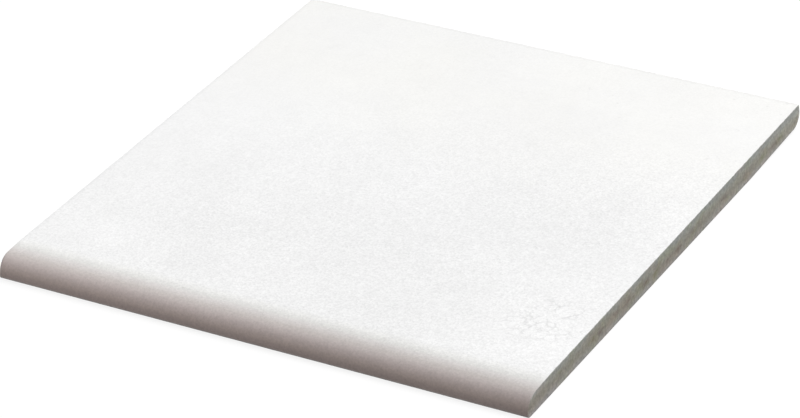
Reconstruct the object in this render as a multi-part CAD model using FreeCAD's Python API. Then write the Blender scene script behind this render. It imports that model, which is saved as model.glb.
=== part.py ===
import FreeCAD, Part
import math
import os

# Bullnose tile: one pressed, glazed and fired ceramic piece, in millimetres and degrees.
# The nose runs along X and faces -Y, the back edge faces +Y, the tread face is up.
# The origin is on the bed plane, under the middle of the tile's outline.

# Format
tile_width = 300.0
tile_depth = 320.0
back_thickness = 14.25

# The tread face falls this much per millimetre towards the nose, so that it sheds water
tread_fall = 0.007

# Nose: the tread face leads in on a gentle arc, then turns over the front
lead_length = 18.0
lead_drop = 0.8
front_land = 0.4
front_under_radius = 2.6

# Back edge: the bed is relieved behind, well rounded below, and the back leans in above
relief_length = 63.0
relief_rise = 1.95
back_under_radius = 7.5
back_lean = 15.0

# Slight round on every arris
arris_radius = 0.45

# Square keying pockets with blunt corners, pressed into the bed
key_pitch = 23.0
key_rib = 5.0
key_depth = 0.8
key_draft = 0.6
key_corner_cut = 1.5
key_margin = 12.0


def section_point(forward, height):
    """A point of the section, measured from the front of the nose and from the bed."""
    return FreeCAD.Vector(0, forward - tile_depth / 2, height)


def on_circle(centre, radius, angle):
    """The point of a circle at an angle above the horizontal, counted from the front."""
    return (centre[0] - radius * math.cos(angle), centre[1] + radius * math.sin(angle))


def arc(centre, radius, start_angle, end_angle):
    """An arc of the section about its centre."""
    angles = (start_angle, (start_angle + end_angle) / 2, end_angle)
    points = [section_point(*on_circle(centre, radius, angle)) for angle in angles]
    return Part.Arc(*points).toShape()


def line(start, end):
    """A straight run of the section."""
    return Part.makeLine(section_point(*start), section_point(*end))


def tread_height(forward):
    """Height of the plane of the tread face."""
    return back_thickness - tread_fall * (tile_depth - forward)


def front_edges():
    """Lead-in, nose and front down to the bed, and the point where the tread face starts."""
    upright = math.pi / 2
    tread_angle = math.atan(tread_fall)
    nose_angle = 2 * math.atan2(lead_drop, lead_length) - tread_angle

    # The nose takes the height that the lead-in and the front's lower part leave
    nose_height = front_under_radius + front_land
    room = tread_height(lead_length) - lead_drop - nose_height
    nose_radius = room / (math.cos(nose_angle) - tread_fall * (1 - math.sin(nose_angle)))
    nose_centre = (nose_radius, nose_height)
    nose_top = on_circle(nose_centre, nose_radius, upright - nose_angle)

    # The lead-in is tangent to the nose and to the tread face
    lead_radius = lead_length / (math.sin(nose_angle) - math.sin(tread_angle))
    lead_start = (nose_top[0] + lead_length, nose_top[1] + lead_drop)
    lead_centre = on_circle(lead_start, -lead_radius, upright - tread_angle)

    under_centre = (front_under_radius, front_under_radius)
    edges = [
        arc(lead_centre, lead_radius, upright - tread_angle, upright - nose_angle),
        arc(nose_centre, nose_radius, upright - nose_angle, 0),
        line((0, nose_height), (0, front_under_radius)),
        arc(under_centre, front_under_radius, 0, -upright),
    ]
    return edges, lead_start


def relief_start():
    """Where the flat bed ends and its relief begins."""
    return tile_depth - relief_length


def back_edges():
    """Relief, lower round and leaning back, and the corner where they reach the tread face."""
    upright = math.pi / 2
    relief_angle = math.atan2(relief_rise, relief_length)
    lean = math.radians(back_lean)

    # The round is tangent to the relief and reaches out to the tile's full depth
    centre_forward = tile_depth - back_under_radius
    over_relief = (centre_forward - relief_start()) * math.tan(relief_angle)
    centre = (centre_forward, over_relief + back_under_radius / math.cos(relief_angle))
    round_start = on_circle(centre, back_under_radius, -upright - relief_angle)
    round_end = on_circle(centre, back_under_radius, -2 * upright - lean)

    climb = (tread_height(round_end[0]) - round_end[1]) / (math.cos(lean) + tread_fall * math.sin(lean))
    corner = (round_end[0] - climb * math.sin(lean), round_end[1] + climb * math.cos(lean))
    edges = [
        line((relief_start(), 0), round_start),
        arc(centre, back_under_radius, -upright - relief_angle, -2 * upright - lean),
        line(round_end, corner),
    ]
    return edges, corner


def tile_section():
    """The closed section across the nose, as a face in the plane X = 0."""
    front, lead_start = front_edges()
    back, corner = back_edges()
    bed = line((front_under_radius, 0), (relief_start(), 0))
    tread = line(corner, lead_start)
    return Part.Face(Part.Wire(front + [bed] + back + [tread]))


def tile_blank():
    """The section drawn out to the tile's width, with its arrises rounded."""
    section = tile_section()
    section.translate(FreeCAD.Vector(-tile_width / 2, 0, 0))
    blank = section.extrude(FreeCAD.Vector(tile_width, 0, 0))
    ends = [face for face in blank.Faces if abs(abs(face.CenterOfMass.x) - tile_width / 2) < arris_radius]
    arrises = [edge for face in ends for edge in face.Edges]
    arrises += [edge for edge in blank.Edges if is_back_arris(edge)]
    return blank.makeFillet(arris_radius, arrises)


def is_back_arris(edge):
    """Whether an edge is the one between the tread face and the back."""
    corner = section_point(*back_edges()[1])
    return all(math.hypot(end.Y - corner.y, end.Z - corner.z) < arris_radius for end in edge.Vertexes)


def key_count(half_field):
    """How many pockets fit on both sides of the middle rib."""
    return 2 * int((half_field - key_margin + key_rib / 2) / key_pitch)


def key_pocket():
    """The tool for one pocket, wider at its mouth, through the bed at the origin."""
    mouth = (key_pitch - key_rib) / 2
    floor = mouth - key_draft
    flare = mouth + key_draft
    tool = Part.makeWedge(
        -flare, -key_depth, -flare, -floor, -floor,
        flare, key_depth, flare, floor, floor,
    )
    tool.rotate(FreeCAD.Vector(0, 0, 0), FreeCAD.Vector(1, 0, 0), 90)
    corners = [edge for edge in tool.Edges if edge.BoundBox.ZLength > key_depth]
    return tool.makeChamfer(key_corner_cut, corners)


def key_pockets():
    """The whole field of pockets, centred on the flat bed."""
    columns = key_count(tile_width / 2)
    rows = key_count((relief_start() - front_under_radius) / 2)
    middle = section_point((relief_start() + front_under_radius) / 2, 0)
    pocket = key_pocket()
    field = []
    for column in range(columns):
        for row in range(rows):
            x = (column - (columns - 1) / 2) * key_pitch
            y = (row - (rows - 1) / 2) * key_pitch
            field.append(pocket.translated(middle + FreeCAD.Vector(x, y, 0)))
    return field


def bullnose_tile():
    """The finished tile as one solid."""
    return tile_blank().cut(key_pockets()).removeSplitter().Solids[0]


os.makedirs("parts", exist_ok=True)
bullnose_tile().exportStep("parts/bullnose_tile.step")
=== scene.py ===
import math

import bmesh
import bpy
import numpy as np
from mathutils import Matrix, Vector, noise


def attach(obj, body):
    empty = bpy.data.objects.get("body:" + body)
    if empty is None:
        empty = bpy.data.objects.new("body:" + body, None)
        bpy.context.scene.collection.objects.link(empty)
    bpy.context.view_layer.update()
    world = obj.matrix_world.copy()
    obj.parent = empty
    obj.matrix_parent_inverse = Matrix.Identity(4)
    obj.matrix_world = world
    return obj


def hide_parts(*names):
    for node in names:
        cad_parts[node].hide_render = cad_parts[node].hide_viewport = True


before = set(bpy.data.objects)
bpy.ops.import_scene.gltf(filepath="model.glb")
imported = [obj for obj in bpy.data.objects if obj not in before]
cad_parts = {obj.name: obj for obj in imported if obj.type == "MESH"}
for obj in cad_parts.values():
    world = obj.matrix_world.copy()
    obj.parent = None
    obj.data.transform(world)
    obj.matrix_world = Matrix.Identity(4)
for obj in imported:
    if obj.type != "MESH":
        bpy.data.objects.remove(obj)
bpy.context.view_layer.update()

# Names
NODE = "bullnose_tile"
REACH = "glaze_reach"

# Sizes in millimetres and degrees, as in the part's source
MM = 0.001
WIDTH = 300.0
DEPTH = 320.0
BACK_THICKNESS = 14.25
TREAD_FALL = 0.007
LEAD_LENGTH = 18.0
LEAD_DROP = 0.8
FRONT_LAND = 0.4
FRONT_UNDER_RADIUS = 2.6
RELIEF_LENGTH = 63.0
RELIEF_RISE = 1.95
BACK_UNDER_RADIUS = 7.5
BACK_LEAN = 15.0
ARRIS_RADIUS = 0.45
KEY_PITCH = 23.0
KEY_RIB = 5.0
KEY_DEPTH = 0.8
KEY_DRAFT = 0.6
KEY_CORNER_CUT = 1.5
KEY_MARGIN = 12.0
RELIEF_START = DEPTH - RELIEF_LENGTH
BED_MIDDLE = (RELIEF_START + FRONT_UNDER_RADIUS) / 2
HALF_BED = (RELIEF_START - FRONT_UNDER_RADIUS) / 2

# Mesh spacing on the flat faces, steps of the section's other stretches, and the angle that stays sharp
GRID = 1.75
ARRIS_STEPS = 3
NOSE_UPPER_STEPS = 7
NOSE_LOWER_STEPS = 6
LEAD_STEPS = 10
FRONT_UNDER_STEPS = 2
BACK_UNDER_STEPS = 5
BACK_UPRIGHT_STEPS = 2
BACK_ARRIS_STEPS = 2
SHARP_ANGLE = math.radians(35)
# Points nearer than this are made one
WELD = 0.001

# Top and bottom of the section meet its front at this many degrees above and below the front
FRONT_CORNER = 45.0
# The glaze ends halfway round the arrises
GLAZE_END = math.pi / 4

# The left arris is rounder over the nose. It grows towards the front, and up from the bed
NOSE_ARRIS_RADIUS = 1.75
NOSE_ARRIS_START, NOSE_ARRIS_FULL, NOSE_ARRIS_LOW = 8.5, 2.0, 4.0

# Relief of the fired surfaces, as heights and the lengths of its waves, and how soon one turns into the other
GLAZE_RELIEF = ((0.035, 14.0), (0.012, 5.0))
BODY_RELIEF = ((0.05, 7.0), (0.03, 3.5))
RELIEF_BLUR = 0.3


# Section of the tile

def arc_points(centre, radius, start, end, steps):
    """Points and outward normals of an arc, between angles in degrees above the front."""
    angles = np.radians(np.linspace(start, end, steps + 1))
    normals = np.stack([-np.cos(angles), np.sin(angles)], 1)
    return np.array(centre) + radius * normals, normals


def run_points(points, normal):
    """Points of a straight run, all with one normal."""
    points = np.array(points, float)
    return points, np.tile(np.array(normal, float), (len(points), 1))


def between_points(start, end, steps):
    """Evenly spaced points from one point to another."""
    return np.linspace(start, end, steps + 1)


def chained(*stretches):
    """Joins stretches end to end. Neighbours share a point, which is kept once."""
    points, normals = stretches[0]
    for more_points, more_normals in stretches[1:]:
        points = np.concatenate([points[:-1], more_points])
        normals = np.concatenate([normals[:-1], more_normals])
    return points, normals


def key_lines(half_field):
    """Distances from the middle of the bed at which the pockets' walls start and end."""
    count = 2 * int((half_field - KEY_MARGIN + KEY_RIB / 2) / KEY_PITCH)
    ribs = (np.arange(count + 1) - count / 2) * KEY_PITCH
    edges = (-KEY_RIB / 2 - KEY_DRAFT, -KEY_RIB / 2, KEY_RIB / 2, KEY_RIB / 2 + KEY_DRAFT)
    lines = (ribs[:, None] + np.array(edges)).ravel()

    # Outside the first and the last rib there is no wall
    return lines[2:-2]


def filled(lines, spacing):
    """The lines with even steps between them, near the spacing."""
    stations = [lines[0]]
    for start, end in zip(lines[:-1], lines[1:]):
        steps = max(1, round((end - start) / spacing))
        stations += list(np.linspace(start, end, steps + 1)[1:])
    return np.array(stations)


def tread_height(forward):
    """Height of the plane of the tread face."""
    return BACK_THICKNESS - TREAD_FALL * (DEPTH - forward)


def nose_and_lead():
    """Centre, radius and upper angle of the nose, and of the lead-in that is tangent to it."""
    tread_angle = math.atan(TREAD_FALL)
    nose_angle = 2 * math.atan2(LEAD_DROP, LEAD_LENGTH) - tread_angle
    nose_height = FRONT_UNDER_RADIUS + FRONT_LAND
    room = tread_height(LEAD_LENGTH) - LEAD_DROP - nose_height
    nose_radius = room / (math.cos(nose_angle) - TREAD_FALL * (1 - math.sin(nose_angle)))
    lead_radius = LEAD_LENGTH / (math.sin(nose_angle) - math.sin(tread_angle))
    nose = (nose_radius, nose_height)
    offset = nose_radius - lead_radius
    lead = (nose[0] - offset * math.sin(nose_angle), nose[1] + offset * math.cos(nose_angle))
    top_angle, lead_angle = 90 - math.degrees(nose_angle), 90 - math.degrees(tread_angle)
    return nose, nose_radius, top_angle, lead, lead_radius, lead_angle


def back_circles():
    """Centre and first angle of the round below the back, and centre of the arris above it."""
    relief_angle = math.atan2(RELIEF_RISE, RELIEF_LENGTH)
    forward = DEPTH - BACK_UNDER_RADIUS
    over_relief = (forward - RELIEF_START) * math.tan(relief_angle)
    height = over_relief + BACK_UNDER_RADIUS / math.cos(relief_angle)
    low_angle = -90 - math.degrees(relief_angle)

    # The arris lies inside the tread face and inside the back, by its radius
    lean = math.radians(BACK_LEAN)
    inset = BACK_UNDER_RADIUS - ARRIS_RADIUS
    start = (forward + inset * math.cos(lean), height + inset * math.sin(lean))
    room = tread_height(start[0]) - ARRIS_RADIUS * math.hypot(1, TREAD_FALL) - start[1]
    climb = room / (math.cos(lean) + TREAD_FALL * math.sin(lean))
    arris = (start[0] - climb * math.sin(lean), start[1] + climb * math.cos(lean))
    return (forward, height), low_angle, arris


def section_chains():
    """Top, bottom, front and back of the section, each as points and normals."""
    nose, nose_radius, top_angle, lead, lead_radius, lead_angle = nose_and_lead()
    under_front = (FRONT_UNDER_RADIUS, FRONT_UNDER_RADIUS)
    under_back, low_angle, back_arris = back_circles()
    round_end, back_angle = -180 - BACK_LEAN, 180 - BACK_LEAN
    low_middle = (low_angle + round_end) / 2
    high_middle = (lead_angle + back_angle) / 2

    lead_in = arc_points(lead, lead_radius, top_angle, lead_angle, LEAD_STEPS)
    bottom_round = arc_points(under_back, BACK_UNDER_RADIUS, low_angle, low_middle, BACK_UNDER_STEPS)
    upper_round = arc_points(under_back, BACK_UNDER_RADIUS, low_middle, round_end, BACK_UNDER_STEPS)
    tread_arris = arc_points(back_arris, ARRIS_RADIUS, lead_angle, high_middle, BACK_ARRIS_STEPS)
    rear_arris = arc_points(back_arris, ARRIS_RADIUS, back_angle, high_middle, BACK_ARRIS_STEPS)

    keys = BED_MIDDLE + key_lines(HALF_BED)
    bed = filled(np.concatenate([[FRONT_UNDER_RADIUS], keys, [RELIEF_START]]), GRID)
    relief = between_points((RELIEF_START, 0), bottom_round[0][0], round(RELIEF_LENGTH / GRID))
    bottom = chained(
        arc_points(under_front, FRONT_UNDER_RADIUS, -FRONT_CORNER, -90, FRONT_UNDER_STEPS),
        run_points([(forward, 0) for forward in bed], (0, -1)),
        run_points(relief, bottom_round[1][0]),
        bottom_round,
    )

    # The top has as many points as the bottom, and the back as many as the front
    tread_steps = len(bottom[0]) - 1 - NOSE_UPPER_STEPS - LEAD_STEPS - BACK_ARRIS_STEPS
    tread = between_points(lead_in[0][-1], tread_arris[0][0], tread_steps)
    top = chained(
        arc_points(nose, nose_radius, FRONT_CORNER, top_angle, NOSE_UPPER_STEPS),
        lead_in,
        run_points(tread, lead_in[1][-1]),
        tread_arris,
    )
    front = chained(
        arc_points(under_front, FRONT_UNDER_RADIUS, -FRONT_CORNER, 0, FRONT_UNDER_STEPS),
        run_points([(0, FRONT_UNDER_RADIUS), (0, nose[1])], (-1, 0)),
        arc_points(nose, nose_radius, 0, FRONT_CORNER, NOSE_LOWER_STEPS),
    )
    upright = between_points(upper_round[0][-1], rear_arris[0][0], BACK_UPRIGHT_STEPS)
    back = chained(upper_round, run_points(upright, upper_round[1][-1]), rear_arris)
    return top, bottom, front, back


# Mesh of the tile

def cross_stations():
    """Places along the nose: x, which side arris each is on or 0, and its turn towards that side."""
    half = WIDTH / 2
    lines = np.concatenate([[ARRIS_RADIUS - half], key_lines(half), [half - ARRIS_RADIUS]])
    inner = filled(lines, GRID)[1:-1]
    leans = np.linspace(0, math.pi / 2, ARRIS_STEPS + 1)
    x = np.concatenate([np.full_like(leans, -half), inner, np.full_like(leans, half)])
    side = np.concatenate([np.full_like(leans, -1), np.zeros_like(inner), np.ones_like(leans)])
    lean = np.concatenate([leans[::-1], np.zeros_like(inner), leans])
    return x, side, lean


def faded(values, start, full):
    """0 at the start, 1 at the full end and beyond, even between them."""
    return np.clip((values - start) / (full - start), 0, 1)


def arris_radii(points, side):
    """Radius of a side arris at points of the section. The left one grows over the nose."""
    over_nose = faded(points[..., 0], NOSE_ARRIS_START, NOSE_ARRIS_FULL)
    share = over_nose * faded(points[..., 1], 0, NOSE_ARRIS_LOW) * (side < 0)
    return ARRIS_RADIUS + (NOSE_ARRIS_RADIUS - ARRIS_RADIUS) * share


def run_lengths(points):
    """Distance along a chain to each of its points."""
    steps = np.linalg.norm(np.diff(points, axis=0), axis=1)
    return np.concatenate([[0], np.cumsum(steps)])


def around(top, bottom, front, back):
    """The four chains' rows in one closed loop: top, down the back, bottom, up the front."""
    return np.concatenate([top, back[-2::-1], bottom[-2::-1], front[1:-1]])


def loop_reach(top, bottom, front, back):
    """Distance along the section from the glaze's nearer end to each loop point, negative past it."""
    over, under, rise, drop = (run_lengths(chain[0]) for chain in (top, bottom, front, back))
    far = 2 * DEPTH
    from_front = around(rise[-1] + over, -under, rise, np.full_like(drop, far))
    bare, beyond = np.full_like(under, -far), np.full_like(rise, far)
    from_back = around(over[-1] - over, bare, beyond, drop - drop[-1])
    return np.minimum(from_front, from_back)


def key_sink(x, y):
    """How far the bed is pressed in at places measured from its middle."""
    across = np.abs(x % KEY_PITCH - KEY_PITCH / 2)
    along = np.abs(y % KEY_PITCH - KEY_PITCH / 2)
    mouth = (KEY_PITCH - KEY_RIB) / 2
    wall = mouth - np.maximum(across, along)
    corner = (2 * mouth - KEY_CORNER_CUT - across - along) / 2
    inside = (np.abs(x) < key_lines(WIDTH / 2)[-1]) & (np.abs(y) < key_lines(HALF_BED)[-1])
    return np.where(inside, KEY_DEPTH * np.clip(np.minimum(wall, corner) / KEY_DRAFT, 0, 1), 0)


def tube_loops(chains):
    """The section's loop at every station, drawn in over the arrises: points, directions and reach."""
    points = around(*(chain[0] for chain in chains))
    normals = around(*(chain[1] for chain in chains))
    x, side, lean = (values[:, None] for values in cross_stations())
    radius = arris_radii(points, side)

    loops = np.empty((len(x), len(points), 3))
    loops[..., 0] = x - side * radius * (1 - np.sin(lean))
    loops[..., 1:] = points - (np.abs(side) * radius * (1 - np.cos(lean)))[..., None] * normals
    directions = np.empty_like(loops)
    directions[..., 0] = side * np.sin(lean)
    directions[..., 1:] = np.cos(lean)[..., None] * normals

    side_reach = np.where(
        side == 0,
        WIDTH / 2 - radius - np.abs(x) + radius * GLAZE_END,
        radius * (GLAZE_END - lean),
    )
    reach = np.minimum(side_reach, loop_reach(*chains))

    # The flat bed is pressed in
    on_bed = np.isclose(loops[..., 2], 0)
    loops[..., 2] += np.where(on_bed, key_sink(loops[..., 0], loops[..., 1] - BED_MIDDLE), 0)
    return loops, directions, reach


def cap_points(top, bottom, front, back):
    """Points inside a side face, spread between its four edges: rows along the depth, then up."""
    u = np.linspace(0, 1, len(top))[1:-1, None, None]
    v = np.linspace(0, 1, len(front))[None, 1:-1, None]
    top_row, bottom_row = top[1:-1, None], bottom[1:-1, None]
    front_row, back_row = front[None, 1:-1], back[None, 1:-1]
    between = (1 - v) * bottom_row + v * top_row + (1 - u) * front_row + u * back_row
    low = (1 - u) * bottom[0] + u * bottom[-1]
    high = (1 - u) * top[0] + u * top[-1]
    return between - (1 - v) * low - v * high


def side_face(chains, end):
    """Points inside the left (-1) or right (1) side face, with their directions and reach."""
    edges = [points - arris_radii(points, end)[:, None] * normals for points, normals in chains]
    inner = cap_points(*edges).reshape(-1, 2)
    glazed_edge = np.concatenate([edges[0], edges[2]])
    gaps = np.linalg.norm(inner[:, None] - glazed_edge, axis=2)
    points = np.insert(inner, 0, end * WIDTH / 2, axis=1)
    directions = np.tile([end, 0.0, 0.0], (len(points), 1))
    return points, directions, -ARRIS_RADIUS * GLAZE_END - gaps.min(1)


def tile_faces(count, size, columns, rows):
    """Corners of each face: of the tube with its count of loops, then of the left and right side."""
    i, j = np.meshgrid(np.arange(count - 1), np.arange(size), indexing="ij")
    ahead = (j + 1) % size
    corners = [i * size + j, (i + 1) * size + j, (i + 1) * size + ahead, i * size + ahead]
    quads = [np.stack(corners, -1)]

    # The sides' edges are the tube's first and last loops
    inner = np.arange((columns - 1) * (rows - 1)).reshape(columns - 1, rows - 1)
    along, up = np.arange(columns + 1), np.arange(rows + 1)
    for end, first in enumerate((0, (count - 1) * size)):
        grid = np.empty((columns + 1, rows + 1), int)
        grid[:, rows] = first + along
        grid[columns, :] = first + columns + rows - up
        grid[:, 0] = first + 2 * columns + rows - along
        grid[0, :] = first + (2 * columns + rows + up) % size
        grid[1:-1, 1:-1] = count * size + end * inner.size + inner
        corners = [grid[:-1, :-1], grid[1:, :-1], grid[1:, 1:], grid[:-1, 1:]]
        quads.append(np.stack(corners if end else corners[::-1], -1))
    return np.concatenate([part.reshape(-1, 4) for part in quads])


def waves(points, relief):
    """Depth of an uneven fired surface below its smooth form, at each point."""
    depth = np.zeros(len(points))
    for height, length in relief:
        values = [noise.noise(Vector(point / length)) for point in points]
        depth += height * (0.5 + 0.5 * np.array(values))
    return depth


def weld(mesh):
    """Makes points that coincide one, as at the back's upper corners, where the arrises meet."""
    joined = bmesh.new()
    joined.from_mesh(mesh)
    bmesh.ops.remove_doubles(joined, verts=joined.verts, dist=WELD * MM)
    joined.to_mesh(mesh)
    joined.free()


def tile_mesh():
    """The whole tile as one closed mesh, with its distance from the glaze's edge as an attribute."""
    chains = section_chains()
    loops, directions, reach = tube_loops(chains)
    count, size = reach.shape
    columns, rows = len(chains[0][0]) - 1, len(chains[2][0]) - 1
    left, right = side_face(chains, -1), side_face(chains, 1)
    vertices = np.concatenate([loops.reshape(-1, 3), left[0], right[0]])
    directions = np.concatenate([directions.reshape(-1, 3), left[1], right[1]])
    reach = np.concatenate([reach.ravel(), left[2], right[2]])

    # Fired unevenness
    glazed = np.clip(reach / RELIEF_BLUR, 0, 1)
    depth = glazed * waves(vertices, GLAZE_RELIEF) + (1 - glazed) * waves(vertices, BODY_RELIEF)
    vertices = vertices - directions * depth[:, None]
    vertices[:, 1] -= DEPTH / 2

    mesh = bpy.data.meshes.new("fired_tile")
    mesh.from_pydata((vertices * MM).tolist(), [], tile_faces(count, size, columns, rows).tolist())
    mesh.attributes.new(REACH, "FLOAT", "POINT").data.foreach_set("value", reach)
    weld(mesh)
    mesh.shade_smooth()
    mesh.set_sharp_from_angle(angle=SHARP_ANGLE)
    return mesh


# Materials

class Shading:
    """Short calls that add nodes to one node tree."""

    def __init__(self, owner):
        owner.use_nodes = True
        self.tree = owner.node_tree
        self.tree.nodes.clear()

    def add(self, kind, inputs=(), **settings):
        """Adds a node. Inputs are values or other nodes' outputs, by name or number."""
        node = self.tree.nodes.new(kind)
        for name, value in settings.items():
            setattr(node, name, value)
        for name, value in dict(inputs).items():
            if isinstance(value, bpy.types.NodeSocket):
                self.tree.links.new(value, node.inputs[name])
            else:
                node.inputs[name].default_value = value
        return node

    def math(self, operation, first, second=0.0):
        """One step of arithmetic."""
        return self.add("ShaderNodeMath", {0: first, 1: second}, operation=operation).outputs[0]

    def plus(self, first, second):
        """The sum of two values."""
        return self.math("ADD", first, second)

    def times(self, first, *more):
        """The product of the values, taken in turn."""
        for value in more:
            first = self.math("MULTIPLY", first, value)
        return first

    def swing(self, value, amount):
        """A value from 0 to 1 as a swing about 0, by half the amount each way."""
        return self.times(self.math("SUBTRACT", value, 0.5), amount)

    def ranged(self, value, start, end, low=0.0, high=1.0, kind="SMOOTHSTEP"):
        """The value carried from the range start to end onto low to high."""
        inputs = {"Value": value, "From Min": start, "From Max": end, "To Min": low, "To Max": high}
        return self.add("ShaderNodeMapRange", inputs, interpolation_type=kind).outputs[0]

    def noise(self, vector, size, seed, detail=3.0, roughness=0.5, stretch=None):
        """Noise from 0 to 1 with features about as large as the size."""
        if stretch:
            stretched = self.add("ShaderNodeVectorMath", {0: vector, 1: stretch}, operation="MULTIPLY")
            vector = stretched.outputs[0]
        inputs = {"Vector": vector, "W": seed, "Scale": 1 / size, "Detail": detail, "Roughness": roughness}
        return self.add("ShaderNodeTexNoise", inputs, noise_dimensions="4D").outputs[0]

    def ramp(self, value, stops):
        """A colour from stops, each a place from 0 to 1 and a colour."""
        node = self.add("ShaderNodeValToRGB", {0: value})
        elements = node.color_ramp.elements
        while len(elements) < len(stops):
            elements.new(1.0)
        for element, (place, colour) in zip(elements, stops):
            element.position = place
            element.color = (*colour, 1)
        return node.outputs[0]

    def blended(self, factor, first, second):
        """Two numbers mixed."""
        return self.add("ShaderNodeMix", {0: factor, 2: first, 3: second}).outputs[0]

    def mixed(self, factor, first, second, blend="MIX"):
        """Two colours mixed."""
        inputs = {0: factor, 6: first, 7: second}
        return self.add("ShaderNodeMix", inputs, data_type="RGBA", blend_type=blend).outputs[2]

    def scaled(self, vector, factor):
        """A colour or a vector times a number."""
        return self.add("ShaderNodeVectorMath", {0: vector, "Scale": factor}, operation="SCALE").outputs[0]


# Noises of the glaze and of the body: size of their features in millimetres, seed, fineness and roughness
NOSE_DRIFT = {"size": 9.0, "seed": 1.0}
BROAD_CLOUDS = {"size": 30.0, "seed": 2.0, "detail": 2.0}
FINE_CLOUDS = {"size": 10.0, "seed": 3.0}
GRAIN = {"size": 1.12, "seed": 4.0, "detail": 2.0, "roughness": 0.7}
CRAZE_WARP = {"size": 3.0, "seed": 5.0, "detail": 4.0, "roughness": 0.65}
CRAZE_BREAKS = {"size": 5.0, "seed": 6.0}
WARMTH = {"size": 60.0, "seed": 7.0, "detail": 2.0}
FLECKS = {"size": 3.0, "seed": 8.0, "detail": 1.0}
BAND_DRIFT = {"size": 12.0, "seed": 11.0}
GRIT = {"size": 1.8, "seed": 18.0, "roughness": 0.65}
RAGGED_EDGE = {"size": 2.2, "seed": 21.0}
SHEEN = {"size": 3.0, "seed": 22.0}

# Every RUN holds where a change starts and where it is full: millimetres on the tile, levels for a noise

# Glaze tones over the way from the lowest front up and back over the nose, in millimetres: painted shade,
# brown grey over the nose, that lightens to the white of the tread
NOSE_LENGTH = 48.0
NOSE_SHADE_TONES = (
    (3.0, (0.46, 0.37, 0.345)),
    (6.5, (0.53, 0.435, 0.40)),
    (12.0, (0.50, 0.427, 0.41)),
    (17.0, (0.488, 0.434, 0.419)),
    (20.0, (0.506, 0.465, 0.445)),
    (24.8, (0.64, 0.612, 0.60)),
    (28.0, (0.705, 0.70, 0.682)),
    (32.0, (0.812, 0.81, 0.798)),
    (36.0, (0.85, 0.85, 0.85)),
)
NOSE_DRIFT_SWING = 0.03
# The nose's painted shade is this much lighter at its left end than in the middle, and as much darker at its
# right
NOSE_LEAN, NOSE_LEAN_RUN = 0.12, (44.0, 10.0)

# Clouds all over, and a grain that is stronger in front of a slanting line, and weaker at the left
CLOUD_LEVELS = (0.25, 0.75)
BROAD_TONES, FINE_TONES = (0.985, 1.015), (0.988, 1.012)
GRAIN_SWING, GRAIN_STRENGTHS = 0.50, (0.34, 1.14)
GRAIN_SLANT, GRAIN_SLANT_RUN, GRAIN_BACK_RUN = 0.45, (300.0, 110.0), (265.0, 210.0)
GRAIN_LEFT_RUN, GRAIN_LEFT_SHARE = (-140.0, -60.0), 0.8

# Soft clouds and small marks on the tread face: place from the middle and the nose, radius, tone
CLOUDS = (
    (75.0, 140.0, 125.0, 0.952),
    (0.0, 62.0, 80.0, 0.972),
    (-25.0, 120.0, 75.0, 0.982),
    (-95.0, 116.0, 32.0, 0.982),
    (-128.0, 52.0, 40.0, 1.015),
    (-105.0, 46.0, 28.0, 1.03),
    (-22.0, 193.0, 40.0, 0.978),
    (112.0, 158.0, 44.0, 0.972),
    (32.0, 92.0, 42.0, 0.983),
    (140.0, 285.0, 50.0, 1.015),
    (75.0, 60.0, 50.0, 0.975),
    (-75.0, 78.0, 50.0, 0.975),
    (40.0, 245.0, 70.0, 0.98),
    (-40.0, 305.0, 60.0, 0.98),
    (-95.0, 190.0, 60.0, 1.012),
    (48.0, 14.0, 60.0, 0.965),
    (-60.0, 38.0, 26.0, 0.975),
    (112.0, 200.0, 40.0, 0.988),
    (138.0, 55.0, 45.0, 1.025),
    (-148.0, 50.0, 30.0, 1.02),
    (-148.0, 170.0, 45.0, 1.012),
)
MARKS = (
    (-10.0, 177.0, 3.0, 0.965),
    (17.0, 82.0, 2.5, 0.965),
    (115.0, 212.0, 1.5, 0.965),
)
RING_PLACE, RING_RADIUS, RING_WIDTH, RING_TONE = (80.0, 196.0), 4.0, 0.8, 0.96

# Craze lines round a place near the right front: cells of this size, bent and broken by noise. The lines'
# own run is in parts of a cell
CRAZE_PLACE, CRAZE_RUN, CRAZE_CELL, CRAZE_BEND = (128.0, 66.0), (29.0, 11.6), 5.0, 4.5
CRAZE_LINE_RUN, CRAZE_BREAK_RUN, CRAZE_TONE = (0.13, 0.02), (0.43, 0.57), 0.85

# Flecks, sown towards the right
FLECK_RUN, FLECK_SOWN_RUN, FLECK_TONE = (0.70, 0.76), (0.0, 80.0), 0.93

# The glaze is a little darker near its edge, and more so along the back
EDGE_RUN, EDGE_TONE = (3.0, 0.6), 0.97
BACK_EDGE_RUN, BACK_EDGE_TONE = (315.6, 317.0), 0.98

# Faint warm tint towards the back
WARM_RUN, WARM_TINT = (150.0, 265.0), (0.995, 0.99, 0.96, 1)

# Body tones over the tile's thickness, as parts of it
BODY_TONES = (
    (0.10, (0.552, 0.537, 0.513)),
    (0.26, (0.498, 0.474, 0.418)),
    (0.42, (0.444, 0.42, 0.354)),
    (0.62, (0.499, 0.492, 0.432)),
    (0.78, (0.504, 0.517, 0.479)),
    (0.86, (0.486, 0.502, 0.475)),
    (0.94, (0.462, 0.472, 0.446)),
)
BAND_DRIFT_SWING = 0.2

# Each stain or spot: tint, size in millimetres, seed, and the noise levels between which it sets in
BODY_STAINS = (
    ((1.0, 0.95, 0.92, 1), 8.0, 12.0, 0.48, 0.64),
    ((0.97, 0.99, 0.90, 1), 6.5, 13.0, 0.50, 0.64),
    ((0.96, 0.98, 1.0, 1), 5.0, 14.0, 0.54, 0.68),
)
BODY_SPOTS = (
    ((0.74, 0.67, 0.69, 1), 6.0, 16.0, 0.50, 0.66),
    ((0.73, 0.76, 0.60, 1), 5.5, 17.0, 0.52, 0.68),
)
STAIN_STRETCH = (0.6, 0.6, 1.0)
# Spots lie between these parts of the thickness
SPOT_LOW, SPOT_HIGH = 0.16, 0.68
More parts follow.
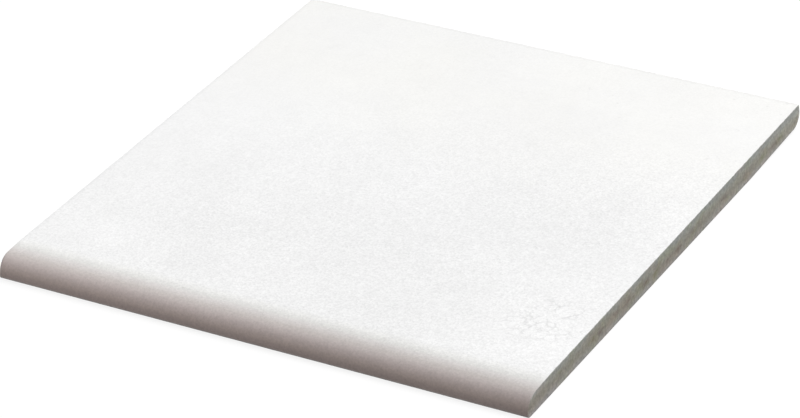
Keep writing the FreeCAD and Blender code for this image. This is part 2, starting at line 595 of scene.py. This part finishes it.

# Stains and spots keep this share at both ends, where the front is browner and the back lighter with painted
# light
FRONT_RUN, BACK_RUN, END_SHARE = (40.0, 0.0), (268.0, DEPTH), 0.3
FRONT_TINT, BACK_END_LIGHT = (1.01, 0.97, 1.0, 1), 1.12
# Painted light: the whole body lightens a little on the way back
BACK_LIGHT_RUN, BACK_LIGHT_TONES = (150.0, DEPTH), (0.97, 1.05)
# Grit all over the body: noise levels and the tones they turn into
GRIT_LEVELS, GRIT_TONES = (0.2, 0.8), (0.60, 1.40)

# Faces that look down: the bed's ribs are rubbed pale, and above this height its pockets and relief get
# painted shade. The run is of the upward part of a face's direction
UNDER_RUN = (-0.55, -0.85)
RIB_TONE, POCKET_SHADE_TONE, RUB_HEIGHT = 1.12, 0.86, 0.5

# Finish: how far the glaze's edge strays and blurs, roughness, and the height of grit and grain
RAGGED_SWING, EDGE_BLUR = 0.7, 0.08
BODY_ROUGHNESS, SHEEN_LEVELS, GLAZE_ROUGHNESS = 0.86, (0.2, 0.8), (0.42, 0.54)
GRIT_HEIGHT, GRAIN_HEIGHT = 0.16, 0.06
IOR = 1.5


def flat_distance(shade, position, place):
    """Distance over the tread face from a place, given from the middle and from the nose."""
    there = (place[0], place[1] - DEPTH / 2, 0)
    flat = shade.add("ShaderNodeVectorMath", {0: position, 1: (1, 1, 0)}, operation="MULTIPLY")
    gap = shade.add("ShaderNodeVectorMath", {0: flat.outputs[0], 1: there}, operation="DISTANCE")
    return gap.outputs["Value"]


def grained(shade, x, forward, grain):
    """Tone of the grain, by its strength from place to place."""
    slant = shade.math("SUBTRACT", forward, shade.times(x, GRAIN_SLANT))
    front = shade.times(shade.ranged(slant, *GRAIN_SLANT_RUN), shade.ranged(forward, *GRAIN_BACK_RUN))
    strength = shade.ranged(front, 0.0, 1.0, *GRAIN_STRENGTHS, "LINEAR")
    strength = shade.times(strength, shade.ranged(x, *GRAIN_LEFT_RUN, GRAIN_LEFT_SHARE, 1.0))
    return shade.plus(shade.times(shade.swing(grain, GRAIN_SWING), strength), 1.0)


def crazed(shade, position, value):
    """The value with craze lines."""
    bent = shade.times(shade.noise(position, **CRAZE_WARP), CRAZE_BEND)
    warped = shade.add("ShaderNodeVectorMath", {0: position, 1: bent}, operation="ADD").outputs[0]
    inputs = {"Vector": warped, "Scale": 1 / CRAZE_CELL}
    cells = shade.add("ShaderNodeTexVoronoi", inputs, feature="DISTANCE_TO_EDGE")
    line = shade.ranged(cells.outputs["Distance"], *CRAZE_LINE_RUN)
    near = shade.ranged(flat_distance(shade, position, CRAZE_PLACE), *CRAZE_RUN)
    broken = shade.ranged(shade.noise(position, **CRAZE_BREAKS), *CRAZE_BREAK_RUN)
    craze = shade.times(line, near, broken)
    return shade.times(value, shade.ranged(craze, 0.0, 1.0, 1.0, CRAZE_TONE, "LINEAR"))


def flecked(shade, position, x, value):
    """The value with scattered flecks."""
    fleck = shade.ranged(shade.noise(position, **FLECKS), *FLECK_RUN)
    sown = shade.times(fleck, shade.ranged(x, *FLECK_SOWN_RUN))
    return shade.times(value, shade.ranged(sown, 0.0, 1.0, 1.0, FLECK_TONE))


def clouded(shade, position, value):
    """The value with soft clouds, small marks and one ring."""
    for across, forward, radius, tone in CLOUDS + MARKS:
        distance = flat_distance(shade, position, (across, forward))
        value = shade.times(value, shade.ranged(distance, radius, 0.0, 1.0, tone))
    from_ring = shade.math("SUBTRACT", flat_distance(shade, position, RING_PLACE), RING_RADIUS)
    rim = shade.math("ABSOLUTE", from_ring)
    return shade.times(value, shade.ranged(rim, RING_WIDTH, 0.0, 1.0, RING_TONE))


def glaze_colour(shade, position, x, z, forward, reach):
    """White glaze, clouded and grained, with painted shade that turns it brown grey over the nose, and its
    grain.
    """
    way = shade.math("DIVIDE", shade.plus(forward, z), NOSE_LENGTH)
    way = shade.plus(way, shade.swing(shade.noise(position, **NOSE_DRIFT), NOSE_DRIFT_SWING))
    colour = shade.ramp(way, [(place / NOSE_LENGTH, tone) for place, tone in NOSE_SHADE_TONES])

    broad = shade.ranged(shade.noise(position, **BROAD_CLOUDS), *CLOUD_LEVELS, *BROAD_TONES, "LINEAR")
    fine = shade.ranged(shade.noise(position, **FINE_CLOUDS), *CLOUD_LEVELS, *FINE_TONES, "LINEAR")
    grain = shade.noise(position, **GRAIN)
    value = shade.times(broad, fine, grained(shade, x, forward, grain))

    lean = shade.times(x, -2 * NOSE_LEAN / WIDTH)
    on_nose = shade.ranged(way, *(place / NOSE_LENGTH for place in NOSE_LEAN_RUN))
    value = shade.times(value, shade.plus(shade.times(lean, on_nose), 1.0))

    value = crazed(shade, position, value)
    value = flecked(shade, position, x, value)
    value = clouded(shade, position, value)
    edge = shade.ranged(reach, *EDGE_RUN, 1.0, EDGE_TONE)
    back_edge = shade.ranged(forward, *BACK_EDGE_RUN, 1.0, BACK_EDGE_TONE)
    value = shade.times(value, shade.times(edge, back_edge))

    warm = shade.times(shade.ranged(forward, *WARM_RUN), shade.noise(position, **WARMTH))
    colour = shade.mixed(warm, colour, WARM_TINT, "MULTIPLY")
    return shade.scaled(colour, value), grain


def stained(shade, position, colour, stains, amount):
    """The colour with stains of several tints over it, each by its own noise."""
    for tint, size, seed, start, end in stains:
        stain = shade.noise(position, size, seed, stretch=STAIN_STRETCH)
        factor = shade.times(shade.ranged(stain, start, end), amount)
        colour = shade.mixed(factor, colour, tint, "MULTIPLY")
    return colour


def rubbed_and_shaded(shade, z):
    """Tone of the bed: ribs rubbed pale, pockets and relief darker as painted shade. Only faces that look
    down have it.
    """
    normal = shade.add("ShaderNodeNewGeometry").outputs["Normal"]
    up = shade.add("ShaderNodeSeparateXYZ", {0: normal}).outputs["Z"]
    tone = shade.ranged(z, 0.0, RUB_HEIGHT, RIB_TONE, POCKET_SHADE_TONE)
    return shade.blended(shade.ranged(up, *UNDER_RUN), 1.0, tone)


def body_colour(shade, position, z, forward):
    """Grey-olive fired body, banded over its thickness, with stains, spots and grit, and its grit."""
    level = shade.math("DIVIDE", z, BACK_THICKNESS)
    level = shade.plus(level, shade.swing(shade.noise(position, **BAND_DRIFT), BAND_DRIFT_SWING))
    colour = shade.ramp(level, BODY_TONES)

    front_end = shade.ranged(forward, *FRONT_RUN)
    back_end = shade.ranged(forward, *BACK_RUN)
    either_end = shade.math("MAXIMUM", front_end, back_end)
    strength = shade.ranged(either_end, 0.0, 1.0, 1.0, END_SHARE, "LINEAR")
    inside = shade.math("PINGPONG", shade.ranged(level, SPOT_LOW, SPOT_HIGH, 0.0, 2.0, "LINEAR"), 1.0)
    colour = shade.mixed(front_end, colour, FRONT_TINT, "MULTIPLY")
    colour = stained(shade, position, colour, BODY_STAINS, strength)
    colour = stained(shade, position, colour, BODY_SPOTS, shade.times(inside, strength))

    grit = shade.noise(position, **GRIT)
    value = shade.ranged(grit, *GRIT_LEVELS, *GRIT_TONES, "LINEAR")
    # Painted light: the body is lighter towards the back, and lighter still at the back end
    lit_back = shade.ranged(forward, *BACK_LIGHT_RUN, *BACK_LIGHT_TONES)
    lit_back_end = shade.ranged(back_end, 0.0, 1.0, 1.0, BACK_END_LIGHT, "LINEAR")
    value = shade.times(value, shade.times(lit_back, lit_back_end))
    return shade.scaled(colour, shade.times(value, rubbed_and_shaded(shade, z))), grit


def tile_material():
    """Satin white glaze over a matt body. The glaze ends along an uneven line on the arrises."""
    material = bpy.data.materials.new("glazed_stoneware")
    shade = Shading(material)
    position = shade.scaled(shade.add("ShaderNodeTexCoord").outputs["Object"], 1 / MM)
    x, y, z = shade.add("ShaderNodeSeparateXYZ", {0: position}).outputs
    forward = shade.plus(y, DEPTH / 2)
    reach = shade.add("ShaderNodeAttribute", attribute_name=REACH).outputs["Fac"]
    ragged = shade.swing(shade.noise(position, **RAGGED_EDGE), RAGGED_SWING)
    glazed = shade.ranged(shade.plus(reach, ragged), -EDGE_BLUR, EDGE_BLUR)

    glaze, grain = glaze_colour(shade, position, x, z, forward, reach)
    body, grit = body_colour(shade, position, z, forward)
    sheen = shade.ranged(shade.noise(position, **SHEEN), *SHEEN_LEVELS, *GLAZE_ROUGHNESS, "LINEAR")
    relief = shade.blended(glazed, shade.times(grit, GRIT_HEIGHT), shade.times(grain, GRAIN_HEIGHT))
    surface = shade.add("ShaderNodeBsdfPrincipled", {
        "Base Color": shade.mixed(glazed, body, glaze),
        "Roughness": shade.blended(glazed, BODY_ROUGHNESS, sheen),
        "Normal": shade.add("ShaderNodeBump", {"Height": relief, "Distance": MM, "Strength": 1.0}).outputs[0],
        "IOR": IOR,
    }).outputs[0]
    shade.add("ShaderNodeOutputMaterial", {"Surface": surface})
    return material


# The tile as one piece in place of its node

tile = bpy.data.objects.new("bullnose_tile_fired", tile_mesh())
bpy.context.collection.objects.link(tile)
tile.data.materials.append(tile_material())
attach(tile, "root")
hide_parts(NODE)


# Floor, light and camera

# Floor: half its size and its depth in metres, its levels, and where its shadow fades out
FLOOR_HALF, FLOOR_DROP = 6.0, 0.0001
FLOOR_LIT, FLOOR_GLOW = (0.18, 0.18, 0.18, 1), 0.85
FLOOR_RUN = (0.45, 1.3)

# World: light from above and from below, and how far the two mix at the horizon
SKY_LEVEL, GROUND_LEVEL = (0.36, 0.36, 0.36, 1), (0.22, 0.22, 0.22, 1)
HORIZON_RUN = (-0.15, 0.15)
WHITE = (1, 1, 1, 1)

# One broad lamp, high behind the tile: metres and watts
LAMP_PLACE, LAMP_SIZE, LAMP_POWER = Vector((0.75, 1.07, 2.92)), 3.2, 104.0

# Camera, from the straight edges in the photograph: degrees, pixels and millimetres
PHOTO_WIDTH = 800
FOCAL_PIXELS = 3693.6
SENSOR = 36.0
AZIMUTH, ELEVATION, ROLL = 29.827, 29.653, -2.198
TARGET = Vector((-0.99, -9.87, 0.0))
DISTANCE = 1915.9


def floor_material():
    """White floor that shows the tile's shadow near it and can be looked through from below."""
    material = bpy.data.materials.new("pale_floor")
    shade = Shading(material)
    place = shade.add("ShaderNodeTexCoord").outputs["Object"]
    distance = shade.add("ShaderNodeVectorMath", {0: place}, operation="LENGTH").outputs["Value"]
    lit = shade.add("ShaderNodeBsdfDiffuse", {"Color": FLOOR_LIT}).outputs[0]
    glow = shade.add("ShaderNodeEmission", {"Strength": FLOOR_GLOW}).outputs[0]
    near = shade.add("ShaderNodeAddShader", {0: lit, 1: glow}).outputs[0]
    far = shade.add("ShaderNodeEmission", {"Strength": 1.0}).outputs[0]
    fade = shade.ranged(distance, *FLOOR_RUN)
    above = shade.add("ShaderNodeMixShader", {0: fade, 1: near, 2: far}).outputs[0]
    below = shade.add("ShaderNodeBsdfTransparent").outputs[0]
    side = shade.add("ShaderNodeNewGeometry").outputs["Backfacing"]
    surface = shade.add("ShaderNodeMixShader", {0: side, 1: above, 2: below}).outputs[0]
    shade.add("ShaderNodeOutputMaterial", {"Surface": surface})
    return material


def make_floor():
    """A wide flat floor that only the camera sees, so that it throws no light up at the tile."""
    signs = ((-1, -1), (1, -1), (1, 1), (-1, 1))
    mesh = bpy.data.meshes.new("floor")
    mesh.from_pydata([(x * FLOOR_HALF, y * FLOOR_HALF, -FLOOR_DROP) for x, y in signs], [], [(0, 1, 2, 3)])
    floor = bpy.data.objects.new("floor", mesh)
    bpy.context.collection.objects.link(floor)
    mesh.materials.append(floor_material())
    floor.visible_diffuse = False
    floor.visible_glossy = False
    floor.visible_shadow = False


def make_world():
    """A white background with an even, dim light, dimmer from below."""
    world = bpy.data.worlds.new("studio")
    bpy.context.scene.world = world
    shade = Shading(world)
    direction = shade.add("ShaderNodeTexCoord").outputs["Generated"]
    height = shade.add("ShaderNodeSeparateXYZ", {0: direction}).outputs["Z"]
    dim = shade.mixed(shade.ranged(height, *HORIZON_RUN), GROUND_LEVEL, SKY_LEVEL)
    path = shade.add("ShaderNodeLightPath").outputs
    seen = shade.math("MAXIMUM", path["Is Camera Ray"], path["Is Glossy Ray"])
    seen = shade.math("MAXIMUM", seen, path["Is Transmission Ray"])
    colour = shade.mixed(seen, dim, WHITE)
    background = shade.add("ShaderNodeBackground", {"Color": colour, "Strength": 1.0}).outputs[0]
    shade.add("ShaderNodeOutputWorld", {"Surface": background})


def make_lamp():
    """A soft square lamp aimed at the tile."""
    lamp = bpy.data.lights.new("key", "AREA")
    lamp.size = LAMP_SIZE
    lamp.energy = LAMP_POWER
    holder = bpy.data.objects.new("key", lamp)
    bpy.context.collection.objects.link(holder)
    holder.location = LAMP_PLACE
    holder.rotation_euler = (-LAMP_PLACE).to_track_quat("-Z", "Y").to_euler()


def make_camera():
    """The camera that took the photograph."""
    azimuth, elevation, roll = (math.radians(angle) for angle in (AZIMUTH, ELEVATION, ROLL))
    level = math.cos(elevation)
    back = Vector((math.sin(azimuth) * level, -math.cos(azimuth) * level, math.sin(elevation)))
    right = Vector((math.cos(azimuth), math.sin(azimuth), 0))
    up = back.cross(right)
    rolled_right = right * math.cos(roll) + up * math.sin(roll)
    rolled_up = up * math.cos(roll) - right * math.sin(roll)
    camera = bpy.data.cameras.new("camera")
    camera.sensor_fit = "HORIZONTAL"
    camera.sensor_width = SENSOR
    camera.lens = FOCAL_PIXELS / PHOTO_WIDTH * SENSOR
    holder = bpy.data.objects.new("camera", camera)
    bpy.context.collection.objects.link(holder)
    turn = Matrix((rolled_right, rolled_up, back)).transposed().to_4x4()
    holder.matrix_world = Matrix.Translation(TARGET * MM + back * DISTANCE * MM) @ turn
    bpy.context.scene.camera = holder


make_floor()
make_world()
make_lamp()
make_camera()
bpy.context.scene.view_settings.view_transform = "Standard"
